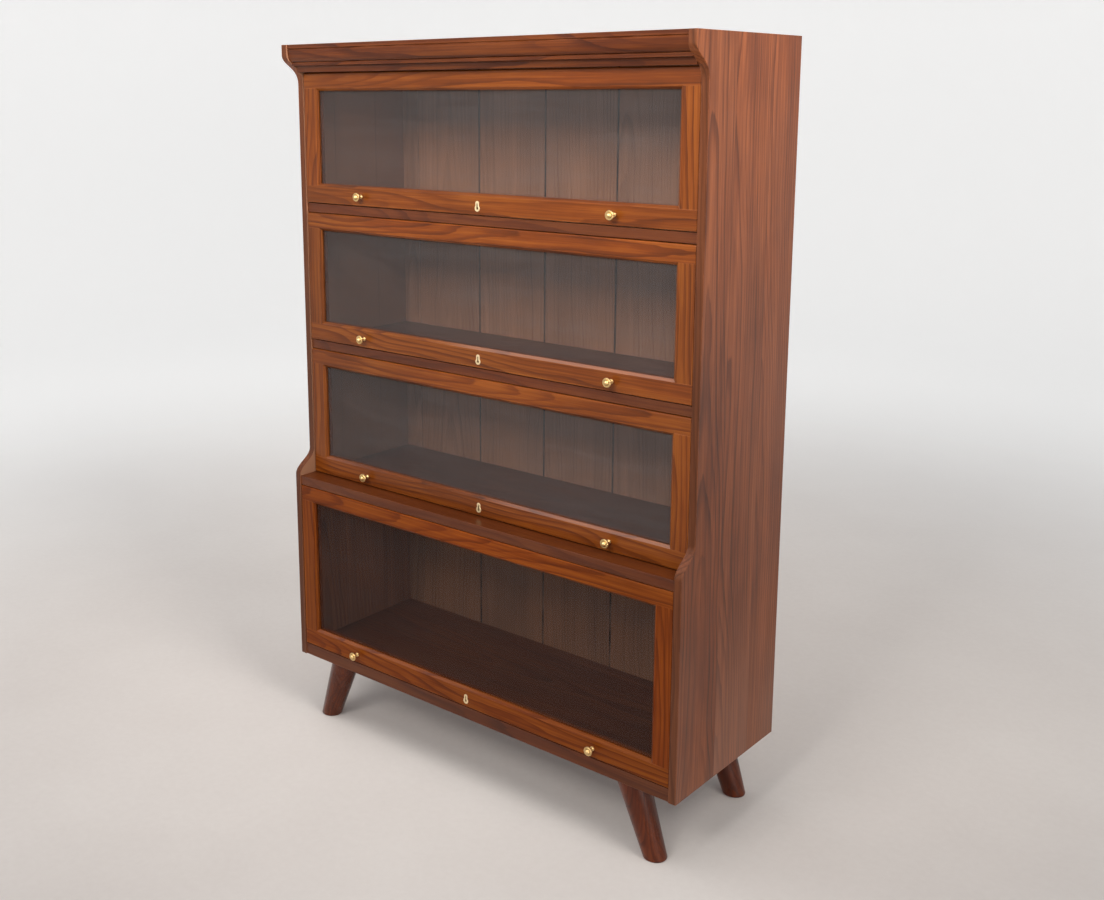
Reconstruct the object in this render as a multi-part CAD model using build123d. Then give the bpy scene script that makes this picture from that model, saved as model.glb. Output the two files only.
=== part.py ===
from build123d import *
import os

# Barrister bookcase in teak: four glazed compartments on splayed legs.
# Each door swings up on a pair of brass pivots and then slides back into the case.
# All sizes in millimetres.  The shapes are drawn with the left-to-right middle at
# x = 0, the front edge of the case at y = 0 and the underside of the case at z = 0,
# and moved at the end so that the origin is the middle of the footprint on the floor.

# ---- overall sizes ----
case_width = 1040
case_depth = 368
case_height = 1400
leg_height = 147
knob_reach = 22

# ---- case boards ----
side_thick = 16
housing_depth = 6
upper_setback = 44
bottom_thick = 27
ledge_thick = 21
ledge_top = 437
shelf_thick = 20
middle_shelf_top = 750
upper_shelf_top = 1059
top_thick = 20
board_setback = 2
shelf_setback = 4
edge_round = 1.2

# ---- side panel profile ----
head_straight = 22
head_curve = 62
step_curve = 56

# ---- cornice ----
cornice_height = 57.5
cornice_back = 48

# ---- back boards ----
back_thick = 14
back_rebate = 8
board_pitch = 191.5
first_joint = -455
tongue_thick = 4
tongue_long = 6
joint_chamfer = 1.4
screw_radius = 1.75
screw_long = 22
screw_head_radius = 3.6

# ---- doors ----
door_thick = 20
door_inset = 1
door_side_gap = 1.5
door_gap = 2
door_top_gap = 1.2
stile_sight = 41
top_rail_sight = 38
bottom_rail_sight = 42
bevel = 5
lip = 9
rebate_wide = 7
glass_thick = 3
glass_gap = 1
tenon_thick = 7
tenon_wide = 24
top_tenon_long = 9
bottom_tenon_long = 22
top_edge_round = 3

# ---- pivots and grooves ----
pivot_drop = 20
pivot_behind = 8
pin_radius = 3
pin_hole_radius = 3.05
pin_long = 24
runner_radius = 4
groove_radius = 4.1
groove_depth = 7
groove_end_gap = 0.3

# ---- knobs, keyholes and locks ----
knob_x = 329
knob_up = 19.5
knob_shank = 2
shank_long = 12
lock_wide = 46
lock_tall = 28
lock_deep = 9
bolt_wide = 16
bolt_thick = 4
bolt_tall = 14
bolt_throw = 7
bolt_back = 15
plate_up = 17
plate_narrow = 4.5
plate_round = 6.5
plate_drop = 4
plate_rise = 6
key_round = 2.7
key_slot = 1.3
screw_slot = 0.9

# ---- legs ----
leg_splay = 20.5
leg_x = 403
leg_y = 34
leg_top_radius = 31.5
leg_foot_radius = 22.8
leg_tenon_radius = 10
leg_tenon_long = 20
foot_round = 3

half = case_width / 2
inner = half - side_thick
back_face = case_depth - back_thick
front_y = -(case_depth - knob_reach + door_inset) / 2

# name: lower edge, upper edge, front of the opening, how far the door slides back
doors = {
    "door_1": (upper_shelf_top, case_height - cornice_height, upper_setback, 200),
    "door_2": (middle_shelf_top, upper_shelf_top - shelf_thick, upper_setback, 222),
    "door_3": (ledge_top, middle_shelf_top - shelf_thick, upper_setback, 222),
    "door_4": (bottom_thick, ledge_top - ledge_thick, 0, 300),
}


# ---------------------------------------------------------------- helpers
def block(x, y, z):
    """A box given by its three ranges."""
    size = Box(x[1] - x[0], y[1] - y[0], z[1] - z[0], align=(Align.MIN,) * 3)
    return Pos(x[0], y[0], z[0]) * size


def rod(radius, start, end):
    """A round bar between two points on a line parallel to x, y or z."""
    start, end = Vector(*start), Vector(*end)
    axis = end - start
    plane = Plane(origin=start, z_dir=axis.normalized())
    return plane * Cylinder(radius, axis.length, align=(Align.CENTER, Align.CENTER, Align.MIN))


def upright(origin):
    """A plane that faces the front, with its own x to the right and its own y up."""
    return Plane(origin=origin, x_dir=(1, 0, 0), z_dir=(0, -1, 0))


def along_y(points, y):
    """A plate between two y positions whose outline is a polygon of (x, z) points."""
    wire = Polyline(*[(x, y[0], z) for x, z in points], close=True)
    return extrude(make_face(wire), amount=y[1] - y[0], dir=(0, 1, 0))


def save(shape, name):
    """Move a finished piece from the case's own position to the shared one, and write it."""
    shape = Pos(0, front_y, leg_height) * shape
    export_step(shape, f"parts/{name}.step")


# ---------------------------------------------------------------- side panels
def side_outline():
    """The side seen from the end: set back above the ledge, with a curve at head and step."""
    s = upper_setback
    z0 = case_height - head_straight
    z1 = z0 - head_curve
    z2 = ledge_top + step_curve
    head = Spline(
        (0, 0, z0), (0, s / 2, (z0 + z1) / 2 + 6), (0, s, z1),
        tangents=[(0, 0, -1), (0, 0, -1)], tangent_scalars=[1.0, 1.3],
    )
    step = Spline(
        (0, s, z2), (0, s / 2, ledge_top + 29), (0, 0, ledge_top + 2),
        tangents=[(0, 0, -1), (0, 0, -1)], tangent_scalars=[1.0, 0.9],
    )
    lines = [
        Line((0, 0, case_height), (0, 0, z0)),
        head,
        Line((0, s, z1), (0, s, z2)),
        step,
        Line((0, 0, ledge_top + 2), (0, 0, 0)),
        Line((0, 0, 0), (0, case_depth, 0)),
        Line((0, case_depth, 0), (0, case_depth, case_height)),
        Line((0, case_depth, case_height), (0, 0, case_height)),
    ]
    return make_face(Wire(lines))


def side_panel(sign):
    """One side, with housings for the boards, a rebate for the back and four grooves."""
    panel = extrude(side_outline(), amount=side_thick, dir=(1, 0, 0))
    panel = Pos(inner, 0, 0) * panel
    outer_front = panel.edges().filter_by(
        lambda e: e.center().X > half - 0.01 and e.center().Y < upper_setback + 1
    )
    panel = fillet(outer_front, edge_round)
    to = inner + housing_depth
    panel -= block((inner, to), (board_setback, back_face), (0, bottom_thick))
    panel -= block((inner, to), (board_setback, back_face), (ledge_top - ledge_thick, ledge_top))
    panel -= block((inner, to), (cornice_back, back_face), (case_height - top_thick, case_height))
    front = upper_setback + shelf_setback
    for top in (middle_shelf_top, upper_shelf_top):
        panel -= block((inner, to), (front, back_face), (top - shelf_thick, top))
    panel -= block((inner, inner + back_rebate), (back_face, case_depth), (0, case_height))
    for low, high, opening, travel in doors.values():
        panel -= groove(opening, high, travel)
    if sign < 0:
        panel = mirror(panel, about=Plane.YZ)
    return panel


def pivot_place(opening, high):
    """The y and z of a door's pivot line."""
    return opening + door_inset + pivot_behind, high - door_top_gap - pivot_drop


def groove(opening, high, travel):
    """The stopped groove that one pivot runs in."""
    y, z = pivot_place(opening, high)
    front = y - groove_end_gap
    rear = y + travel + groove_end_gap
    r = groove_radius
    ends = rod(r, (inner, front, z), (inner + groove_depth, front, z))
    ends += rod(r, (inner, rear, z), (inner + groove_depth, rear, z))
    return ends + block((inner, inner + groove_depth), (front, rear), (z - r, z + r))


# ---------------------------------------------------------------- boards across the case
def board(front, top, thick, bolt_y=None):
    """A board housed in both sides, its front arrises eased, mortised for a lock bolt."""
    end = inner + housing_depth
    piece = block((-end, end), (front, back_face), (top - thick, top))
    eased = piece.edges().filter_by(Axis.X).sort_by(Axis.Y)[:2]
    piece = fillet(eased, edge_round)
    if bolt_y is not None:
        gap = 1
        w = bolt_wide / 2 + gap
        t = bolt_thick / 2 + gap
        piece -= block((-w, w), (bolt_y - t, bolt_y + t), (top - bolt_throw, top))
    return piece - screw_holes()


def cornice():
    """The moulding under the top edge: fillet, ovolo, bead, cove and a plain band."""
    z = case_height
    bottom = case_height - cornice_height
    lines = [
        Line((0, 2.5, z), (0, 2.5, z - 8)),
        Line((0, 2.5, z - 8), (0, 4.5, z - 9.5)),
        Line((0, 4.5, z - 9.5), (0, 3.0, z - 11)),
        Spline(
            (0, 3.0, z - 11), (0, 4.6, z - 25), (0, 11.5, z - 36),
            tangents=[(0, 0, -1), (0, 1, -0.7)],
        ),
        Line((0, 11.5, z - 36), (0, 15.5, z - 36.5)),
        Line((0, 15.5, z - 36.5), (0, 13.5, z - 38)),
        Line((0, 13.5, z - 38), (0, 14.0, z - 44)),
        Spline(
            (0, 14.0, z - 44), (0, 24.5, z - 45.5), (0, 27.5, z - 49.5),
            tangents=[(0, 1, 0), (0, 0.1, -1)],
        ),
        Line((0, 27.5, z - 49.5), (0, 29.5, bottom)),
        Line((0, 29.5, bottom), (0, cornice_back, bottom)),
        Line((0, cornice_back, bottom), (0, cornice_back, z)),
        Line((0, cornice_back, z), (0, 2.5, z)),
    ]
    bar = extrude(make_face(Wire(lines)), amount=2 * inner, dir=(1, 0, 0))
    return Pos(-inner, 0, 0) * bar


# ---------------------------------------------------------------- back
def back_joints():
    """The x positions of the joints between back boards, from left to right."""
    return [first_joint + i * board_pitch for i in range(5)]


def back_levels():
    """The heights at which the back boards are screwed to the boards across the case."""
    return [
        bottom_thick / 2,
        ledge_top - ledge_thick / 2,
        middle_shelf_top - shelf_thick / 2,
        upper_shelf_top - shelf_thick / 2,
        case_height - top_thick / 2,
    ]


def screw_spots():
    """One screw through the middle of each back board at each level."""
    edges = [-inner, *back_joints(), inner]
    centres = [(a + b) / 2 for a, b in zip(edges, edges[1:])]
    return [(x, z) for x in centres for z in back_levels()]


def screw(x, z, ease):
    """A countersunk screw from behind, or its hole when ease is added all round."""
    r = screw_radius + ease
    y = case_depth
    shank = rod(r, (x, y - screw_long - ease, z), (x, y, z))
    cone = Cone(screw_head_radius + ease, r, 2.4, align=(Align.CENTER, Align.CENTER, Align.MIN))
    head = Plane(origin=(x, y, z), z_dir=(0, -1, 0)) * cone
    return shank + head


def slotted(x, z, number):
    """A screw with a straight slot, each left at an angle of its own."""
    turn = 37 * number % 180
    slot = Box(3 * screw_head_radius, 2, screw_slot)
    slot = Pos(x, case_depth, z) * (Rot(0, turn, 0) * slot)
    return screw(x, z, 0) - slot


def screw_holes():
    """All the screw holes as one cutting shape."""
    return Compound([screw(x, z, 0.05) for x, z in screw_spots()])


def back_board(left, right, groove_side, tongue_side):
    """One tongued and grooved board of the back, with a small V at each joint."""
    y0, y1 = back_face, case_depth
    piece = block((left, right), (y0, y1), (0, case_height))
    arrises = []
    if groove_side:
        arrises += piece.edges().filter_by(Axis.Z).group_by(Axis.X)[0].sort_by(Axis.Y)[:1]
    if tongue_side:
        arrises += piece.edges().filter_by(Axis.Z).group_by(Axis.X)[-1].sort_by(Axis.Y)[:1]
    piece = chamfer(arrises, joint_chamfer)
    mid = (y0 + y1) / 2
    if groove_side:
        t = tongue_thick / 2 + 0.1
        piece -= block((left, left + tongue_long + 0.4), (mid - t, mid + t), (0, case_height))
    if tongue_side:
        t = tongue_thick / 2
        piece += block((right, right + tongue_long), (mid - t, mid + t), (0, case_height))
    return piece - screw_holes()


# ---------------------------------------------------------------- legs
def leg(right, back):
    """A round tapered leg splayed sideways, cut level at foot and top, with a round tenon."""
    tall = leg_height / cos_of(leg_splay)
    over = 30
    grow = (leg_top_radius - leg_foot_radius) / tall
    body = Cone(
        leg_foot_radius - grow * over, leg_top_radius + grow * over, tall + 2 * over,
        align=(Align.CENTER, Align.CENTER, Align.MIN),
    )
    body = Pos(0, 0, -tall - over) * body
    tenon = Cylinder(
        leg_tenon_radius, leg_tenon_long + over,
        align=(Align.CENTER, Align.CENTER, Align.MIN),
    )
    tenon = Pos(0, 0, -over) * tenon
    tilt = Rot(0, -leg_splay, 0)
    body = (tilt * body) & block((-200, 200), (-60, 60), (-leg_height, 0))
    foot = body.edges().sort_by(Axis.Z)[:1]
    body = fillet(foot, foot_round)
    body += tilt * tenon
    if not right:
        body = mirror(body, about=Plane.YZ)
    x = leg_x if right else -leg_x
    y = case_depth - leg_y if back else leg_y
    return Pos(x, y, 0) * body


def cos_of(degrees):
    """Cosine of an angle in degrees."""
    return Vector(1, 0, 0).rotate(Axis.Z, degrees).X


def leg_mortise(right, back):
    """The round hole in the bottom board that one leg's tenon fits."""
    hole = Cylinder(
        leg_tenon_radius + 0.05, leg_tenon_long + 10.5,
        align=(Align.CENTER, Align.CENTER, Align.MIN),
    )
    hole = Rot(0, -leg_splay, 0) * (Pos(0, 0, -10) * hole)
    if not right:
        hole = mirror(hole, about=Plane.YZ)
    x = leg_x if right else -leg_x
    y = case_depth - leg_y if back else leg_y
    return Pos(x, y, 0) * hole


def bottom_board():
    """The thick bottom board, mortised for the legs and for the lowest lock bolt."""
    piece = board(board_setback, bottom_thick, bottom_thick, door_inset + bolt_back)
    for right in (True, False):
        for back in (True, False):
            piece -= leg_mortise(right, back)
    return piece


# ---------------------------------------------------------------- doors
class Door:
    """The sizes of one door, worked out from the opening it closes."""

    def __init__(self, low, high, opening, travel):
        self.half = inner - door_side_gap
        self.low = low + door_gap
        self.high = high - door_top_gap
        self.face = opening + door_inset
        self.rear = self.face + door_thick
        self.sight_x = self.half - stile_sight
        self.sight_low = self.low + bottom_rail_sight
        self.sight_high = self.high - top_rail_sight
        self.pivot_y, self.pivot_z = pivot_place(opening, high)

    def frame(self):
        """The whole frame as one blank: bevelled in front, rebated behind."""
        blank = block((-self.half, self.half), (self.face, self.rear), (self.low, self.high))
        top = blank.edges().group_by(Axis.Y)[0].sort_by(Axis.Z)[-1:]
        blank = fillet(top, top_edge_round)
        others = [
            e for e in blank.edges().group_by(Axis.Y)[0]
            if e.center().Z < self.high - top_edge_round - 0.01
        ]
        blank = fillet(others, edge_round)
        x, low, high = self.sight_x, self.sight_low, self.sight_high
        blank -= block((-x, x), (self.face, self.rear), (low, high))
        r = rebate_wide
        blank -= block((-x - r, x + r), (self.face + lip, self.rear), (low - r, high + r))
        return blank - self.bevels()

    def bevels(self):
        """The sloping cut round the front of the glass opening."""
        x, low, high = self.sight_x, self.sight_low, self.sight_high
        b = bevel
        mid = (low + high) / 2
        outer = upright((0, self.face, mid)) * Rectangle(2 * (x + b), high - low + 2 * b)
        deep = upright((0, self.face + b, mid)) * Rectangle(2 * x, high - low)
        return loft([outer.face(), deep.face()])

    def tenons(self, grow):
        """The tongues on the ends of the right-hand stile; mortises when grow is added."""
        x = (self.sight_x + rebate_wide + self.half) / 2
        y = self.face + door_thick / 2
        w, t = tenon_wide / 2, tenon_thick / 2
        top = self.sight_high + bevel
        bottom = self.sight_low - bevel
        upward = (top, top + top_tenon_long + grow)
        downward = (bottom - bottom_tenon_long - grow, bottom)
        return [block((x - w, x + w), (y - t, y + t), z) for z in (upward, downward)]

    def top_rail(self):
        x, z = self.sight_x, self.sight_high
        b = bevel
        outline = [
            (-self.half - 1, self.high + 1), (self.half + 1, self.high + 1),
            (self.half + 1, z + b), (x + b, z + b), (x, z),
            (-x, z), (-x - b, z + b), (-self.half - 1, z + b),
        ]
        rail = self.frame() & along_y(outline, (self.face - 1, self.rear + 1))
        rail -= self.tenons(0.5)[0]
        rail -= mirror(self.tenons(0.5)[0], about=Plane.YZ)
        for sign in (1, -1):
            start = (sign * (self.half + 1), self.pivot_y, self.pivot_z)
            end = (sign * (self.half - pin_long - 0.5), self.pivot_y, self.pivot_z)
            rail -= rod(pin_hole_radius, start, end)
        return rail

    def bottom_rail(self):
        x, z = self.sight_x, self.sight_low
        b = bevel
        outline = [
            (-self.half - 1, self.low - 1), (self.half + 1, self.low - 1),
            (self.half + 1, z - b), (x + b, z - b), (x, z),
            (-x, z), (-x - b, z - b), (-self.half - 1, z - b),
        ]
        rail = self.frame() & along_y(outline, (self.face - 1, self.rear + 1))
        rail -= self.tenons(0.5)[1]
        rail -= mirror(self.tenons(0.5)[1], about=Plane.YZ)
        w = lock_wide / 2
        rail -= block((-w, w), (self.rear - lock_deep, self.rear), (self.low, self.low + lock_tall))
        rail -= self.plate(0, 2)
        rail -= self.keyhole(self.face, self.rear)
        for x in (-knob_x, knob_x):
            z = self.low + knob_up
            rail -= rod(knob_shank + 0.05, (x, self.face, z), (x, self.face + shank_long + 0.5, z))
        return rail

    def stile(self, sign):
        x, low, high = self.sight_x, self.sight_low, self.sight_high
        b = bevel
        outline = [
            (self.half + 1, high + b), (x + b, high + b), (x, high),
            (x, low), (x + b, low - b), (self.half + 1, low - b),
        ]
        stile = self.frame() & along_y(outline, (self.face - 1, self.rear + 1))
        for tenon in self.tenons(0):
            stile += tenon
        if sign < 0:
            stile = mirror(stile, about=Plane.YZ)
        return stile

    def glass(self):
        g = rebate_wide - glass_gap
        x = self.sight_x + g
        y = self.face + lip
        return block((-x, x), (y, y + glass_thick), (self.sight_low - g, self.sight_high + g))

    def beads(self):
        """Four strips that hold the glass in its rebate, the uprights between the others."""
        r = rebate_wide
        x, low, high = self.sight_x, self.sight_low, self.sight_high
        y = (self.face + lip + glass_thick, self.rear - 0.5)
        across = (-x - r, x + r)
        strips = [
            block(across, y, (high, high + r)),
            block(across, y, (low - r, low)),
            block((-x - r, -x), y, (low, high)),
            block((x, x + r), y, (low, high)),
        ]
        return Compound(strips)

    def knobs(self):
        z = self.low + knob_up
        return Compound([knob(x, self.face, z) for x in (-knob_x, knob_x)])

    def plate(self, proud, sunk):
        """The keyhole plate let into the rail: narrow above and round below."""
        z = self.low + plate_up
        y = (self.face - proud, self.face + sunk)
        foot, head = z - plate_drop, z + plate_rise
        shape = block((-plate_narrow, plate_narrow), y, (foot, head))
        shape += rod(plate_narrow, (0, y[0], head), (0, y[1], head))
        return shape + rod(plate_round, (0, y[0], foot), (0, y[1], foot))

    def keyhole(self, front, back):
        """A round hole with a slot above it, for a lock let in upside down."""
        z = self.low + plate_up
        foot, head = z - plate_drop, z + plate_rise
        hole = rod(key_round, (0, front - 2, foot), (0, back, foot))
        return hole + block((-key_slot, key_slot), (front - 2, back), (foot, head))

    def escutcheon(self):
        plate = self.plate(0.7, 2)
        front = plate.faces().sort_by(Axis.Y)[0]
        plate = fillet(front.edges(), 0.4)
        return plate - self.keyhole(self.face, self.rear)

    def lock(self):
        """The lock let in flush with the back and lower edge of the rail."""
        w = lock_wide / 2
        y = (self.rear - lock_deep, self.rear)
        case = block((-w, w), y, (self.low, self.low + lock_tall))
        case = fillet(case.edges().filter_by(Axis.Y).sort_by(Axis.Z)[-2:], 2)
        case -= self.keyhole(self.face, y[0] + 3)
        b = bolt_wide / 2 + 0.1
        t = bolt_thick / 2 + 0.1
        mid = self.face + bolt_back
        case -= block((-b, b), (mid - t, mid + t), (self.low, self.low + bolt_tall + 0.5))
        for x in (-18, 18):
            for z in (self.low + 6, self.low + 22):
                case -= rod(1.6, (x, y[1] - 1.2, z), (x, y[1], z))
        return case

    def lock_bolt(self):
        b = bolt_wide / 2
        t = bolt_thick / 2
        mid = self.face + bolt_back
        piece = block((-b, b), (mid - t, mid + t), (self.low, self.low + bolt_tall))
        return chamfer(piece.edges().filter_by(Axis.Y).sort_by(Axis.Z)[:2], 0.8)

    def pivots(self):
        """Two turned brass pins: a plain shank in the rail and a runner in the groove."""
        pins = []
        y, z = self.pivot_y, self.pivot_z
        for sign in (1, -1):
            tip = (sign * (self.half - pin_long), y, z)
            shoulder = (sign * (self.half + 0.6), y, z)
            end = (sign * (inner + groove_depth - 0.6), y, z)
            pins.append(rod(pin_radius, tip, shoulder) + rod(runner_radius, shoulder, end))
        return Compound(pins)


def knob(x, face, z):
    """A small turned brass knob: a collar, a waist and a dished head with a raised button."""
    r = knob_shank
    profile = [
        Line((0, 0, -shank_long), (r, 0, -shank_long)),
        Line((r, 0, -shank_long), (r, 0, 0)),
        Line((r, 0, 0), (4.4, 0, 0)),
        Spline((4.4, 0, 0), (4.7, 0, 1.4), (3.2, 0, 3.0), tangents=[(1, 0, 1), (-1, 0, 0.3)]),
        Spline(
            (3.2, 0, 3.0), (2.5, 0, 6.5), (4.0, 0, 10.0), (8.4, 0, 13.2),
            tangents=[(-1, 0, 1.5), (1, 0, 0.2)],
        ),
        Spline((8.4, 0, 13.2), (9.4, 0, 15.0), (8.4, 0, 17.0), tangents=[(1, 0, 0.3), (-1, 0, 0.6)]),
        Spline((8.4, 0, 17.0), (7.0, 0, 17.2), (5.6, 0, 17.0), tangents=[(-1, 0, 0.4), (-1, 0, -0.3)]),
        Spline((5.6, 0, 17.0), (4.6, 0, 19.6), (0, 0, knob_reach), tangents=[(0, 0, 1), (-1, 0, 0)]),
        Line((0, 0, knob_reach), (0, 0, -shank_long)),
    ]
    turned = revolve(make_face(Wire(profile)), axis=Axis.Z)
    return Plane(origin=(x, face, z), x_dir=(1, 0, 0), z_dir=(0, -1, 0)) * turned


# ---------------------------------------------------------------- build everything
def build_case():
    save(side_panel(1), "side_panel_right")
    save(side_panel(-1), "side_panel_left")
    save(cornice(), "cornice_moulding")
    end = inner + housing_depth
    top = block(
        (-end, end), (cornice_back, back_face), (case_height - top_thick, case_height)
    )
    save(top - screw_holes(), "top_board")
    shelf_front = upper_setback + shelf_setback
    bolt_y = upper_setback + door_inset + bolt_back
    save(board(shelf_front, upper_shelf_top, shelf_thick, bolt_y), "upper_shelf")
    save(board(shelf_front, middle_shelf_top, shelf_thick, bolt_y), "middle_shelf")
    save(board(board_setback, ledge_top, ledge_thick, bolt_y), "ledge_shelf")
    save(bottom_board(), "bottom_board")
    joints = back_joints()
    edge = inner + back_rebate
    save(back_board(-edge, joints[0], False, True), "back_board_left")
    middle = [back_board(a, b, True, True) for a, b in zip(joints, joints[1:])]
    save(Compound(middle), "back_boards_middle")
    save(back_board(joints[-1], edge, True, False), "back_board_right")
    screws = [slotted(x, z, number) for number, (x, z) in enumerate(screw_spots())]
    save(Compound(screws), "back_screws")
    for side in ("right", "left"):
        for end_name in ("front", "back"):
            save(leg(side == "right", end_name == "back"), f"leg_{end_name}_{side}")


def build_door(name, sizes):
    door = Door(*sizes)
    save(door.top_rail(), f"{name}_top_rail")
    save(door.bottom_rail(), f"{name}_bottom_rail")
    save(door.stile(1), f"{name}_stile_right")
    save(door.stile(-1), f"{name}_stile_left")
    save(door.glass(), f"{name}_glass")
    save(door.beads(), f"{name}_glass_beads")
    save(door.knobs(), f"{name}_knobs")
    save(door.escutcheon(), f"{name}_escutcheon")
    save(door.lock(), f"{name}_lock")
    save(door.lock_bolt(), f"{name}_lock_bolt")
    save(door.pivots(), f"{name}_pivots")


os.makedirs("parts", exist_ok=True)
build_case()
for door_name, door_sizes in doors.items():
    build_door(door_name, door_sizes)
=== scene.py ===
import math
from collections import namedtuple

import bpy
from mathutils import Matrix, Vector


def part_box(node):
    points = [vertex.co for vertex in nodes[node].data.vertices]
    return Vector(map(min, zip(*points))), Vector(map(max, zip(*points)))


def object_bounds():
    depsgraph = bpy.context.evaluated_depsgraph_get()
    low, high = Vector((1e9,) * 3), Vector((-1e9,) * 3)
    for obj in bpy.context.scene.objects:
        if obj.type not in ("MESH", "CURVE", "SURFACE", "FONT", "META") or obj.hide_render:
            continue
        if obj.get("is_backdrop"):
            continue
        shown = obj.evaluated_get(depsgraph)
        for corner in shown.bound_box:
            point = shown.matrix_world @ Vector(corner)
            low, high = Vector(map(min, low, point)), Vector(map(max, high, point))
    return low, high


# The looks of a teak barrister bookcase, built round its CAD pieces.
# Metres; x runs left to right, y front to back, z up from the floor.

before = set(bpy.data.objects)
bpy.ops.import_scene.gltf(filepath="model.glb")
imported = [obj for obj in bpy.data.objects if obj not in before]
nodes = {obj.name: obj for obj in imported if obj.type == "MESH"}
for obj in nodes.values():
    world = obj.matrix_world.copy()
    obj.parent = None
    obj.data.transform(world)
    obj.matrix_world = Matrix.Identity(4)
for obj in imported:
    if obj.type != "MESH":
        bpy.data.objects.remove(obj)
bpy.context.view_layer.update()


# ---------------------------------------------------------------- node tree helpers
def add(tree, kind, inputs=None, **settings):
    """A new shader node, its settings made and its inputs set or linked."""
    made = tree.nodes.new("ShaderNode" + kind)
    for name, value in settings.items():
        setattr(made, name, value)
    for name, value in (inputs or {}).items():
        if isinstance(value, bpy.types.NodeSocket):
            tree.links.new(value, made.inputs[name])
        else:
            made.inputs[name].default_value = value
    return made


def maths(tree, operation, a, b=0.0, c=0.0, clamp=False):
    """The output of one Math node."""
    made = add(tree, "Math", {0: a, 1: b, 2: c}, operation=operation, use_clamp=clamp)
    return made.outputs[0]


def spread(tree, value, low, high, to_low=0.0, to_high=1.0, smooth=False):
    """value moved from one range to another, and held inside it."""
    kind = "SMOOTHSTEP" if smooth else "LINEAR"
    inputs = {
        "Value": value,
        "From Min": low,
        "From Max": high,
        "To Min": to_low,
        "To Max": to_high,
    }
    return add(tree, "MapRange", inputs, interpolation_type=kind).outputs["Result"]


def vector_maths(tree, operation, a, b):
    """The vector output of one Vector Math node."""
    return add(tree, "VectorMath", {0: a, 1: b}, operation=operation).outputs[0]


def stretched(tree, vector, scale):
    """A vector scaled along each axis."""
    return vector_maths(tree, "MULTIPLY", vector, scale)


def parts_of(tree, vector):
    """The x, y and z of a vector."""
    return add(tree, "SeparateXYZ", {0: vector}).outputs


def noise(tree, vector, scale, detail=2.0, rough=0.5, coloured=False):
    """Noise of the given fineness along each axis, in repeats a metre."""
    inputs = {
        "Vector": stretched(tree, vector, scale),
        "Scale": 1.0,
        "Detail": detail,
        "Roughness": rough,
    }
    made = add(tree, "TexNoise", inputs)
    return made.outputs["Color" if coloured else 0]


def ramp(tree, value, stops):
    """A colour ramp with (position, colour) stops."""
    made = add(tree, "ValToRGB", {"Fac": value})
    elements = made.color_ramp.elements
    while len(elements) < len(stops):
        elements.new(0.5)
    for element, (place, colour) in zip(elements, stops):
        element.position = place
        element.color = (*colour, 1.0)
    return made.outputs["Color"]


def mixed(tree, share, a, b, kind="MIX"):
    """Two colours mixed."""
    made = add(tree, "Mix", {"Factor": share}, data_type="RGBA", blend_type=kind)
    for socket, value in ((made.inputs[6], a), (made.inputs[7], b)):
        if isinstance(value, bpy.types.NodeSocket):
            tree.links.new(value, socket)
        else:
            socket.default_value = (*value, 1.0)
    return made.outputs[2]


def new_material(name):
    """An empty material with its output node, and its node tree."""
    material = bpy.data.materials.new(name)
    material.use_nodes = True
    tree = material.node_tree
    tree.nodes.clear()
    return material, tree


def principled(tree, inputs):
    """A Principled shader on the material's output."""
    shader = add(tree, "BsdfPrincipled", inputs)
    out = add(tree, "OutputMaterial")
    tree.links.new(shader.outputs[0], out.inputs["Surface"])
    return shader


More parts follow.
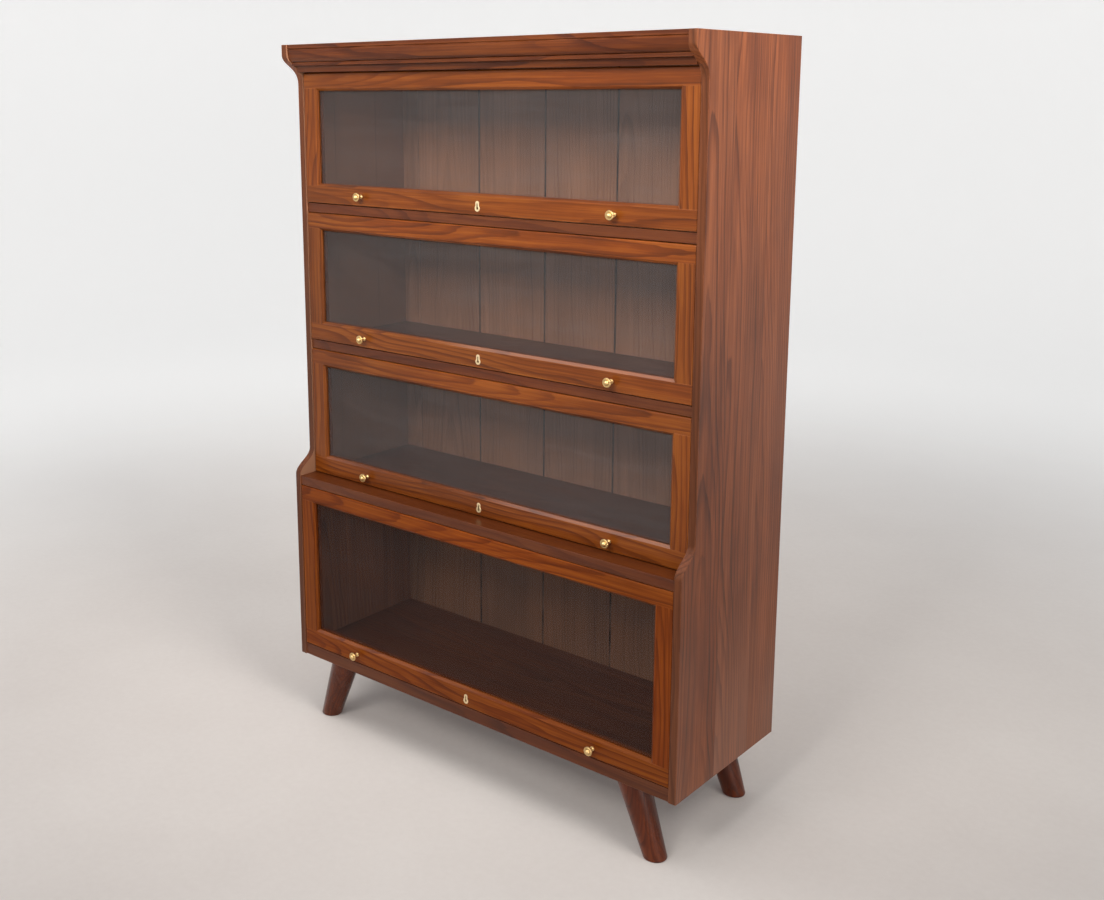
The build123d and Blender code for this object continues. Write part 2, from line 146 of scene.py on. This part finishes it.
# ---------------------------------------------------------------- teak
def make_grain():
    """A node group that gives the figure of one teak board.

    Board is the place in the board: x along the grain, y across its face, z through it.
    The growth rings are cones about the heart of the tree, which lies behind the face.
    """
    t = bpy.data.node_groups.new("teak_grain", "ShaderNodeTree")
    sockets = t.interface
    sockets.new_socket("Board", in_out="INPUT", socket_type="NodeSocketVector")
    for name, value in (
        ("Seed", 0.0),
        ("Heart across", 0.0),
        ("Heart deep", 0.05),
        ("Ring", 0.007),
        ("Taper", 0.02),
    ):
        socket = sockets.new_socket(name, in_out="INPUT", socket_type="NodeSocketFloat")
        socket.default_value = value
    for name in ("Shade", "Tone", "Pores", "Height"):
        sockets.new_socket(name, in_out="OUTPUT", socket_type="NodeSocketFloat")
    given = t.nodes.new("NodeGroupInput").outputs
    out = t.nodes.new("NodeGroupOutput").inputs

    seeds = add(t, "CombineXYZ", {0: given["Seed"], 1: given["Seed"], 2: given["Seed"]})
    shift = stretched(t, seeds.outputs[0], (3.17, 1.73, 2.39))
    place = vector_maths(t, "ADD", given["Board"], shift)

    # the heart wanders slowly along the board, and the ring lines wobble more finely
    wander = noise(t, place, (1.3, 4.5, 4.5), 2.0, 0.5, coloured=True)
    wander = vector_maths(t, "SUBTRACT", wander, (0.5, 0.5, 0.5))
    wander = stretched(t, wander, (0.06, 0.075, 0.06))
    part = parts_of(t, vector_maths(t, "ADD", given["Board"], wander))
    across = maths(t, "SUBTRACT", part[1], given["Heart across"])
    deep = maths(t, "SUBTRACT", part[2], given["Heart deep"])
    squares = maths(t, "ADD", maths(t, "POWER", across, 2.0), maths(t, "POWER", deep, 2.0))
    radius = maths(t, "SQRT", squares)
    wobble = noise(t, place, (5.0, 34.0, 34.0), 3.0, 0.55)
    wobble = maths(t, "MULTIPLY", maths(t, "SUBTRACT", wobble, 0.5), 0.006)
    radius = maths(t, "ADD", radius, wobble)
    radius = maths(t, "MULTIPLY_ADD", part[0], given["Taper"], radius)

    # each ring darkens slowly to its late wood and ends sharply, some rings more than others
    phase = maths(t, "DIVIDE", radius, given["Ring"])
    phase = maths(t, "ADD", phase, given["Seed"])
    step = maths(t, "FLOOR", phase)
    inside = maths(t, "FRACT", phase)
    late = spread(t, inside, 0.25, 0.93, smooth=True)
    late = maths(t, "POWER", late, 2.2)
    close = spread(t, inside, 0.93, 1.0, 1.0, 0.0, smooth=True)
    ring = maths(t, "MULTIPLY", late, close)
    whims = add(t, "TexWhiteNoise", {"W": step}, noise_dimensions="1D").outputs["Value"]
    ring = maths(t, "MULTIPLY", ring, spread(t, whims, 0.0, 1.0, 0.25, 1.0))

    # streaks along the grain, broad and narrow, clouds of dark wood, and the fine open pores
    broad = spread(t, noise(t, place, (1.1, 38.0, 38.0), 3.0, 0.6), 0.30, 0.72)
    narrow = spread(t, noise(t, place, (4.0, 260.0, 260.0), 3.0, 0.65), 0.3, 0.7)
    smoke = spread(t, noise(t, place, (2.4, 7.0, 7.0), 4.0, 0.6), 0.36, 0.70, smooth=True)
    pores = spread(t, noise(t, place, (14.0, 900.0, 900.0), 2.0, 0.5), 0.58, 0.70)
    shade = maths(t, "MULTIPLY", ring, 0.38)
    for layer, weight in ((broad, 0.20), (narrow, 0.26), (smoke, 0.20), (pores, 0.12)):
        shade = maths(t, "MULTIPLY_ADD", layer, weight, shade)
    t.links.new(shade, out["Shade"])

    # a slow drift of hue, and relief where the pores, streaks and late wood are sunk
    tone = noise(t, place, (1.6, 3.4, 3.4), 2.0, 0.5)
    t.links.new(spread(t, tone, 0.3, 0.7), out["Tone"])
    t.links.new(pores, out["Pores"])
    sunk = -0.35
    height = maths(t, "MULTIPLY", pores, sunk)
    for layer in (narrow, ring):
        height = maths(t, "MULTIPLY_ADD", layer, sunk, height)
    t.links.new(height, out["Height"])
    return t


grain = make_grain()

# light, middle and dark colours of each kind of board, how rough its varnish is, how much
# the wood itself shines, and how thick its clear coat is
Finish = namedtuple("Finish", "light middle dark rough shine coat")
finishes = {
    "side_teak": Finish(
        (0.300, 0.088, 0.027), (0.145, 0.037, 0.010), (0.030, 0.008, 0.003), 0.34, 0.2, 0.14
    ),
    "shelf_teak": Finish(
        (0.138, 0.037, 0.008), (0.084, 0.019, 0.004), (0.031, 0.007, 0.002), 0.34, 0.2, 0.2
    ),
    "door_teak": Finish(
        (0.262, 0.073, 0.008), (0.138, 0.031, 0.003), (0.036, 0.008, 0.002), 0.34, 0.15, 0.2
    ),
    "low_door_teak": Finish(
        (0.262, 0.063, 0.005), (0.138, 0.026, 0.002), (0.034, 0.007, 0.001), 0.36, 0.08, 0.1
    ),
    "bead_teak": Finish(
        (0.17, 0.045, 0.008), (0.110, 0.025, 0.004), (0.045, 0.010, 0.003), 0.42, 0.15, 0.1
    ),
    "cornice_teak": Finish(
        (0.150, 0.038, 0.006), (0.070, 0.015, 0.003), (0.018, 0.004, 0.001), 0.34, 0.15, 0.2
    ),
    "leg_teak": Finish(
        (0.165, 0.031, 0.004), (0.086, 0.014, 0.002), (0.030, 0.006, 0.001), 0.26, 0.15, 0.40
    ),
    "back_teak": Finish(
        (0.315, 0.152, 0.081), (0.243, 0.113, 0.058), (0.135, 0.059, 0.030), 0.50, 0.2, 0.0
    ),
}

# colours mixed into the wood: painted light on inner faces, a painted reflection at the foot,
# dirt along the seams and painted shade on front edges
INNER_FACE_PAINTED_LIGHT = (0.38, 0.19, 0.11)
FOOT_PAINTED_REFLECTION = (0.42, 0.19, 0.12)
SEAM_DIRT = (0.018, 0.007, 0.004)
EDGE_PAINTED_SHADE = (0.050, 0.014, 0.003)

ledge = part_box("ledge_shelf")[1].z

# which of x, y and z run along the grain, across the face and through the board
AXES = {
    "x_front": (0, 2, 1),
    "x_flat": (0, 1, 2),
    "z_front": (2, 0, 1),
    "z_side": (2, 1, 0),
}


def joined(tree, across, seed, heart, joints):
    """The seed and the heart's place across the face, changed beyond each joint."""
    seed_there, heart_there = seed, heart
    for number, joint in enumerate(joints):
        past = maths(tree, "GREATER_THAN", across, joint)
        seed_there = maths(tree, "MULTIPLY_ADD", past, 3.7 + number, seed_there)
        jump = (joint - heart) * (0.9 if number == 0 else 0.55)
        heart_there = maths(tree, "MULTIPLY_ADD", past, jump, heart_there)
    return seed_there, heart_there


def brightened(tree, colour, strength):
    """A colour made so many times as bright."""
    grey = add(tree, "CombineColor", {0: strength, 1: strength, 2: strength}).outputs[0]
    return mixed(tree, 1.0, colour, grey, "MULTIPLY")


def side_with_painted_light(tree, colour, part, normal, inward, tone):
    """A side board's colour with painted light: a paler inner face, a brighter top, and a painted
    reflection on the foot.
    """
    above = maths(tree, "GREATER_THAN", part[2], ledge)
    # the inner face is painted paler, most above the ledge: painted light
    inner = spread(tree, maths(tree, "MULTIPLY", normal[0], inward), 0.6, 0.9)
    inner_painted_light = maths(tree, "MULTIPLY", inner, spread(tree, above, 0.0, 1.0, 0.2, 0.9))
    colour = mixed(tree, inner_painted_light, colour, INNER_FACE_PAINTED_LIGHT)
    # painted light: the side is painted darker low down and brighter towards its top
    colour = brightened(tree, colour, spread(tree, part[2], 0.90, 1.40, 0.86, 1.10))
    # a painted reflection lightens the foot in patches, fading out half a metre up
    foot_reflection_share = maths(tree, "MULTIPLY", spread(tree, part[2], 0.05, 0.50, 0.60, 0.0), tone)
    return mixed(tree, foot_reflection_share, colour, FOOT_PAINTED_REFLECTION)


def faded_front(tree, colour, part, normal, faded):
    """A back board's colour, its front painted as bright as faded says below and above the ledge:
    painted light.
    """
    above = maths(tree, "GREATER_THAN", part[2], ledge)
    strength = spread(tree, above, 0.0, 1.0, faded[0], faded[1])
    return brightened(tree, colour, spread(tree, normal[1], -0.9, 0.0, strength, 0.95))


def seams(tree, colour, across, places, wide, dark):
    """A dark line of dirt along each joint."""
    for joint in places:
        off = maths(tree, "ABSOLUTE", maths(tree, "SUBTRACT", across, joint))
        line = spread(tree, off, 0.5 * wide, wide, dark, 0.0)
        colour = mixed(tree, line, colour, SEAM_DIRT)
    return colour


def worn_arris(tree, place):
    """How worn the wood is: patches along its edges, where hands and cloths have rubbed."""
    soft = add(tree, "Bevel", {"Radius": 0.0022}, samples=4).outputs[0]
    flat = add(tree, "NewGeometry").outputs["True Normal"]
    facing = add(tree, "VectorMath", {0: soft, 1: flat}, operation="DOT_PRODUCT")
    edge = spread(tree, facing.outputs["Value"], 0.995, 0.90)
    patchy = spread(tree, noise(tree, place, (18.0, 18.0, 18.0), 3.0, 0.6), 0.42, 0.66)
    return maths(tree, "MULTIPLY", maths(tree, "MULTIPLY", edge, patchy), 0.55)


def teak(
    name, finish, way, seed, heart, ring=0.007, taper=0.02, joints=(), seam=None,
    front_edge_painted_shade=0.0, inward=0, faded=(), bevel_coat=0.0,
):
    """A varnished teak material for one board, or for boards side by side with joints between.

    heart: where the heart of the tree runs, across the face and through the board
    ring, taper: how wide a growth ring is, and how fast the rings narrow along the board
    joints: the places across the face where another board begins
    seam: the places of the dark lines along joints, how wide they are, and how dark
    front_edge_painted_shade: how much painted shade darkens the front edge
    inward: -1 or 1 on a side board, the way along x that its inner face looks
    faded: on a back board, the painted light on its front: how bright it is below and above the
    ledge
    bevel_coat: how much more varnish the bevels that face up carry
    """
    look = finishes[finish]
    material, t = new_material(name)
    part = parts_of(t, add(t, "TexCoord").outputs["Object"])
    order = AXES[way]
    place = add(t, "CombineXYZ", {i: part[order[i]] for i in range(3)}).outputs[0]
    across = part[order[1]]
    seed_there, heart_there = joined(t, across, seed, heart[0], joints)
    figure = t.nodes.new("ShaderNodeGroup")
    figure.node_tree = grain
    for key, value in (
        ("Board", place),
        ("Seed", seed_there),
        ("Heart across", heart_there),
        ("Heart deep", heart[1]),
        ("Ring", ring),
        ("Taper", taper),
    ):
        if isinstance(value, bpy.types.NodeSocket):
            t.links.new(value, figure.inputs[key])
        else:
            figure.inputs[key].default_value = value
    shade, tone, pores, height = (figure.outputs[k] for k in ("Shade", "Tone", "Pores", "Height"))

    colour = ramp(t, shade, [(0.05, look.light), (0.42, look.middle), (1.0, look.dark)])
    warm = mixed(t, tone, (1.10, 1.02, 0.92), (0.86, 0.90, 1.02))
    colour = mixed(t, 1.0, colour, warm, "MULTIPLY")
    normal = parts_of(t, add(t, "NewGeometry").outputs["Normal"])
    if inward:
        colour = side_with_painted_light(t, colour, part, normal, inward, tone)
    if faded:
        colour = faded_front(t, colour, part, normal, faded)
    if seam:
        colour = seams(t, colour, across, *seam)
    if front_edge_painted_shade:
        # the front edge is painted darker than the face: painted shade
        ahead = spread(t, normal[1], -0.35, -0.95, 0.0, front_edge_painted_shade, smooth=True)
        colour = mixed(t, ahead, colour, EDGE_PAINTED_SHADE)
    worn = worn_arris(t, place)
    colour = mixed(t, worn, colour, tuple(1.35 * c + 0.03 for c in look.light))

    cloudy = noise(t, place, (3.0, 9.0, 9.0), 3.0, 0.6)
    rough = spread(t, cloudy, 0.3, 0.7, look.rough - 0.05, look.rough + 0.08)
    rough = maths(t, "MULTIPLY_ADD", pores, 0.10, rough)
    rough = maths(t, "MULTIPLY_ADD", worn, 0.15, rough, clamp=True)
    coat = look.coat
    if bevel_coat:
        coat = spread(t, normal[2], 0.25, 0.55, coat, coat + bevel_coat)
    rounded = add(t, "Bevel", {"Radius": 0.0006}, samples=4).outputs[0]
    relief = {"Height": height, "Strength": 0.30, "Distance": 0.0002, "Normal": rounded}
    principled(t, {
        "Base Color": colour,
        "Roughness": rough,
        "Normal": add(t, "Bump", relief).outputs[0],
        "IOR": 1.45,
        "Specular IOR Level": look.shine,
        "Coat Weight": coat,
        "Coat Roughness": 0.12,
        "Coat IOR": 1.5,
    })
    return material


# ---------------------------------------------------------------- metals
def metal(name, colour, dull, rough, scratch=(60.0, 60.0, 900.0)):
    """Brass or steel with brushed marks, and tarnish gathered in its corners."""
    material, t = new_material(name)
    place = add(t, "TexCoord").outputs["Object"]
    clouds = spread(t, noise(t, place, (160.0, 160.0, 160.0), 4.0, 0.6), 0.35, 0.7)
    openness = add(t, "AmbientOcclusion", {"Distance": 0.006}, samples=6, only_local=True)
    hollow = spread(t, openness.outputs["AO"], 0.35, 0.95, 1.0, 0.0)
    tarnish = maths(t, "MULTIPLY", clouds, 0.35)
    tarnish = maths(t, "MULTIPLY_ADD", hollow, 0.8, tarnish, clamp=True)
    shown = mixed(t, tarnish, colour, dull)
    brushed = noise(t, place, scratch, 2.0, 0.6)
    rough_in = maths(t, "MULTIPLY_ADD", tarnish, 0.18, rough)
    rough_in = maths(t, "MULTIPLY_ADD", brushed, 0.08, rough_in)
    rounded = add(t, "Bevel", {"Radius": 0.0003}, samples=4).outputs[0]
    relief = {"Height": brushed, "Strength": 0.15, "Distance": 0.00008, "Normal": rounded}
    principled(t, {
        "Base Color": shown,
        "Metallic": 1.0,
        "Roughness": rough_in,
        "Normal": add(t, "Bump", relief).outputs[0],
    })
    return material


# ---------------------------------------------------------------- glass
def glass(name, dust_and_veil):
    """Clear pane glass: sees through, mirrors a little, with faint waves and wiping marks.

    dust is how much of the pane a thin grey film covers where it is dirtiest: the film is dust
    and also a painted reflection veil.
    """
    material, t = new_material(name)
    place = add(t, "TexCoord").outputs["Object"]
    waves = noise(t, place, (6.0, 6.0, 3.0), 0.0, 0.4)
    bump = add(t, "Bump", {"Height": waves, "Strength": 0.05, "Distance": 0.0005}).outputs[0]
    wiped = noise(t, place, (5.0, 5.0, 28.0), 4.0, 0.65)
    smear = spread(t, wiped, 0.45, 0.75)
    mirror_rough = spread(t, smear, 0.0, 1.0, 0.03, 0.09)
    clear = add(t, "BsdfTransparent", {"Color": (0.945, 0.94, 0.945, 1.0)})
    mirror = {"Color": (0.90, 0.90, 0.92, 1.0), "Roughness": mirror_rough, "Normal": bump}
    shine = add(t, "BsdfGlossy", mirror)
    # the grey film is partly dust and partly a painted reflection veil
    film = add(t, "BsdfDiffuse", {"Color": (0.17, 0.17, 0.175, 1.0)})
    facing = add(t, "LayerWeight", {"Blend": 0.5, "Normal": bump}).outputs["Facing"]
    mirrored = maths(t, "MULTIPLY_ADD", maths(t, "POWER", facing, 7.0), 0.90, 0.001)
    glassy = add(t, "MixShader", {0: mirrored, 1: clear.outputs[0], 2: shine.outputs[0]})
    film_share = spread(t, smear, 0.0, 1.0, 0.72 * dust_and_veil, dust_and_veil)
    dust_and_veil_mix = add(t, "MixShader", {0: film_share, 1: glassy.outputs[0], 2: film.outputs[0]})
    out = add(t, "OutputMaterial")
    t.links.new(dust_and_veil_mix.outputs[0], out.inputs["Surface"])
    return material


# ---------------------------------------------------------------- give each piece its material
def put(node, material):
    """One material over a whole CAD piece."""
    slots = nodes[node].material_slots
    if not slots:
        nodes[node].data.materials.append(material)
    for slot in slots:
        slot.material = material


def middle_of(node):
    low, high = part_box(node)
    return (low + high) / 2


def put_teak(node, finish, way, seed, deep=0.05, across=0.0, **more):
    """Teak whose heart runs near the piece: deep is how far behind, across how far aside."""
    middle = middle_of(node)
    order = AXES[way]
    heart = (middle[order[1]] + across, middle[order[2]] + deep)
    put(node, teak(node, finish, way, seed, heart, **more))


# each side is three boards glued edge to edge
for name, outward, seed in (("side_panel_left", -1, 9.1), ("side_panel_right", 1, 2.3)):
    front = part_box(name)[0].y
    deep_in = middle_of(name).x - outward * 0.055
    joints = (front + 0.135, front + 0.262)
    put(name, teak(
        name, "side_teak", "z_side", seed, (front + 0.070, deep_in), ring=0.0075, taper=0.030,
        joints=joints, seam=(joints, 0.0006, 0.55), front_edge_painted_shade=0.6, inward=-outward,
    ))

put_teak("cornice_moulding", "cornice_teak", "x_front", 4.6, deep=0.06, ring=0.006)
put_teak("top_board", "side_teak", "x_flat", 5.2, deep=-0.06, ring=0.007)
for number, name in enumerate(("upper_shelf", "middle_shelf", "ledge_shelf", "bottom_board")):
    seed = 11.3 + 2.9 * number
    put_teak(name, "shelf_teak", "x_flat", seed, deep=-0.055, across=0.05, ring=0.0065)

# painted light: the back is painted paler above the ledge than below it
back_faded = (0.74, 1.28)
for number, name in enumerate(("back_board_left", "back_board_right")):
    seed = 21.7 + 4.1 * number
    put_teak(name, "back_teak", "z_front", seed, deep=0.06, across=0.01, faded=back_faded)
# four boards of one width, and a tongue on the right edge of the last
low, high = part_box("back_boards_middle")
tongue = 0.006
pitch = (high.x - tongue - low.x) / 4
back_joints = tuple(low.x + pitch * i for i in range(5))
put("back_boards_middle", teak(
    "back_boards_middle", "back_teak", "z_front", 31.3,
    (low.x + pitch / 2, middle_of("back_boards_middle")[1] + 0.06),
    joints=back_joints[1:4], seam=(back_joints, 0.0030, 1.0), faded=back_faded,
))
for number, name in enumerate(sorted(n for n in nodes if n.startswith("leg_"))):
    put_teak(name, "leg_teak", "z_front", 41.1 + 1.9 * number, deep=0.03, across=0.01, ring=0.005)

brass = metal("brass", (0.80, 0.56, 0.25), (0.36, 0.22, 0.08), 0.26)
plate_brass = metal("plate_brass", (0.96, 0.78, 0.48), (0.62, 0.45, 0.22), 0.42)
lock_brass = metal(
    "lock_brass", (0.72, 0.54, 0.27), (0.30, 0.20, 0.09), 0.34, (700.0, 90.0, 90.0)
)
steel = metal(
    "screw_steel", (0.56, 0.56, 0.55), (0.20, 0.18, 0.16), 0.36, (300.0, 300.0, 300.0)
)
put("back_screws", steel)

# how much grey film covers the pane of each door, from the top door down: dust and a painted
# reflection veil
pane_dust_and_veil = (0.14, 0.15, 0.16, 0.05)
for door in range(1, 5):
    prefix = f"door_{door}_"
    seed = 51.0 + 7.3 * door
    finish = "low_door_teak" if door == 4 else "door_teak"
    for piece, way, later, across, bevel_coat in (
        ("top_rail", "x_front", 0.0, 0.02, 0.0),
        ("bottom_rail", "x_front", 1.7, -0.03, 0.8),
        ("stile_left", "z_front", 3.1, 0.02, 0.0),
        ("stile_right", "z_front", 4.9, -0.03, 0.0),
    ):
        put_teak(prefix + piece, finish, way, seed + later, across=across, ring=0.006,
                 bevel_coat=bevel_coat)
    put_teak(prefix + "glass_beads", "bead_teak", "x_front", seed + 5.7, deep=0.03, ring=0.005)
    put(prefix + "glass", glass(prefix + "pane", pane_dust_and_veil[door - 1]))
    for piece, material in (
        ("knobs", brass),
        ("escutcheon", plate_brass),
        ("pivots", brass),
        ("lock", lock_brass),
        ("lock_bolt", lock_brass),
    ):
        put(prefix + piece, material)


# ---------------------------------------------------------------- studio
def cyclorama():
    """A pale floor that curves up into a pale wall all round, well clear of the object."""
    flat, bend, tall, steps, turns = 5.5, 2.0, 7.0, 12, 96
    outline = [(0.0, 0.0), (1.5, 0.0), (3.0, 0.0)]
    for i in range(steps + 1):
        a = math.pi / 2 * i / steps
        outline.append((flat + bend * math.sin(a), bend * (1 - math.cos(a))))
    outline.append((flat + bend, tall))
    vertices = [(0.0, 0.0, 0.0)]
    faces = []
    for r, z in outline[1:]:
        for j in range(turns):
            a = 2 * math.pi * j / turns
            vertices.append((r * math.cos(a), r * math.sin(a), z))
    for j in range(turns):
        faces.append((0, 1 + j, 1 + (j + 1) % turns))
    for i in range(len(outline) - 2):
        base = 1 + i * turns
        for j in range(turns):
            k = (j + 1) % turns
            faces.append((base + j, base + turns + j, base + turns + k, base + k))
    mesh = bpy.data.meshes.new("stage_floor")
    mesh.from_pydata(vertices, [], faces)
    for face in mesh.polygons:
        face.use_smooth = True
    floor = bpy.data.objects.new("stage_floor", mesh)
    bpy.context.scene.collection.objects.link(floor)
    material, t = new_material("pale_floor")
    place = add(t, "TexCoord").outputs["Object"]
    cloud = noise(t, place, (1.1, 1.1, 1.1), 5.0, 0.6)
    speck = noise(t, place, (60.0, 60.0, 60.0), 3.0, 0.6)
    cloud = maths(t, "MULTIPLY_ADD", speck, 0.25, maths(t, "MULTIPLY", cloud, 0.75))
    colour = ramp(t, cloud, [(0.35, (0.68, 0.635, 0.61)), (0.65, (0.74, 0.70, 0.675))])
    away = add(t, "VectorMath", {0: place}, operation="LENGTH").outputs["Value"]
    colour = mixed(t, spread(t, away, 1.0, 4.0, smooth=True), colour, (0.80, 0.80, 0.80))
    glow = spread(t, away, 1.0, 4.5, 0.0, 0.31, smooth=True)
    principled(t, {
        "Base Color": colour, "Roughness": 0.9, "Specular IOR Level": 0.0,
        "Emission Color": (1.0, 1.0, 1.0, 1.0), "Emission Strength": glow,
    })
    mesh.materials.append(material)
    floor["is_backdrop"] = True


def lamp(name, place, aim, size, power, colour=(1.0, 1.0, 1.0), beam=180):
    """A soft rectangular lamp, its beam so many degrees wide."""
    data = bpy.data.lights.new(name, "AREA")
    data.shape = "RECTANGLE"
    data.size, data.size_y = size
    data.energy = power
    data.color = colour
    data.spread = math.radians(beam)
    made = bpy.data.objects.new(name, data)
    made.location = place
    made.rotation_euler = (Vector(aim) - Vector(place)).to_track_quat("-Z", "Y").to_euler()
    made.visible_camera = False
    bpy.context.scene.collection.objects.link(made)
    return made


cyclorama()
lamp("overhead", (0.2, -2.3, 2.5), (0.1, 0.0, 1.75), (1.4, 1.2), 20, (1.0, 0.97, 0.92), 80)
lamp("right", (2.1, -0.5, 2.7), (0.4, 0.0, 2.0), (1.2, 1.2), 21, (1.0, 0.96, 0.91), 95)
strip = lamp("strip", (2.6, -1.0, 0.27), (0.45, -0.14, 0.1), (1.2, 0.4), 14, (1.0, 0.95, 0.90))
strip.visible_diffuse = False
lamp("floor", (-1.0, -0.9, 4.2), (-1.0, -0.9, 0.0), (4.0, 3.0), 73, (1.0, 0.98, 0.96))
world = bpy.data.worlds.new("studio")
world.use_nodes = True
world.node_tree.nodes["Background"].inputs["Color"].default_value = (1.0, 1.0, 1.0, 1.0)
world.node_tree.nodes["Background"].inputs["Strength"].default_value = 0.15
bpy.context.scene.world = world

# ---------------------------------------------------------------- camera
# the place and the turn of the photographer's camera, fitted to the edges of the case
PLACE = (1.6531, -2.0181, 1.4382)
YAW, PITCH, ROLL = 0.7010, -0.1975, -0.0014
across = Vector((math.cos(YAW), math.sin(YAW), 0.0))
level = Vector((-math.sin(YAW), math.cos(YAW), 0.0))
ahead = level * math.cos(PITCH) + Vector((0.0, 0.0, 1.0)) * math.sin(PITCH)
up = across.cross(ahead)
turned = Matrix((across, up, -ahead)).transposed() @ Matrix.Rotation(ROLL, 3, "Z")
lens = bpy.data.cameras.new("camera")
lens.sensor_width = 36.0
lens.lens = 41.37
lens.shift_x = 0.0471
lens.shift_y = -0.0906
camera = bpy.data.objects.new("camera", lens)
camera.matrix_world = Matrix.Translation(PLACE) @ turned.to_4x4()
bpy.context.scene.collection.objects.link(camera)
bpy.context.scene.camera = camera
bpy.context.scene.view_settings.view_transform = "Standard"
bpy.context.scene.view_settings.look = "None"

low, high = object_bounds()
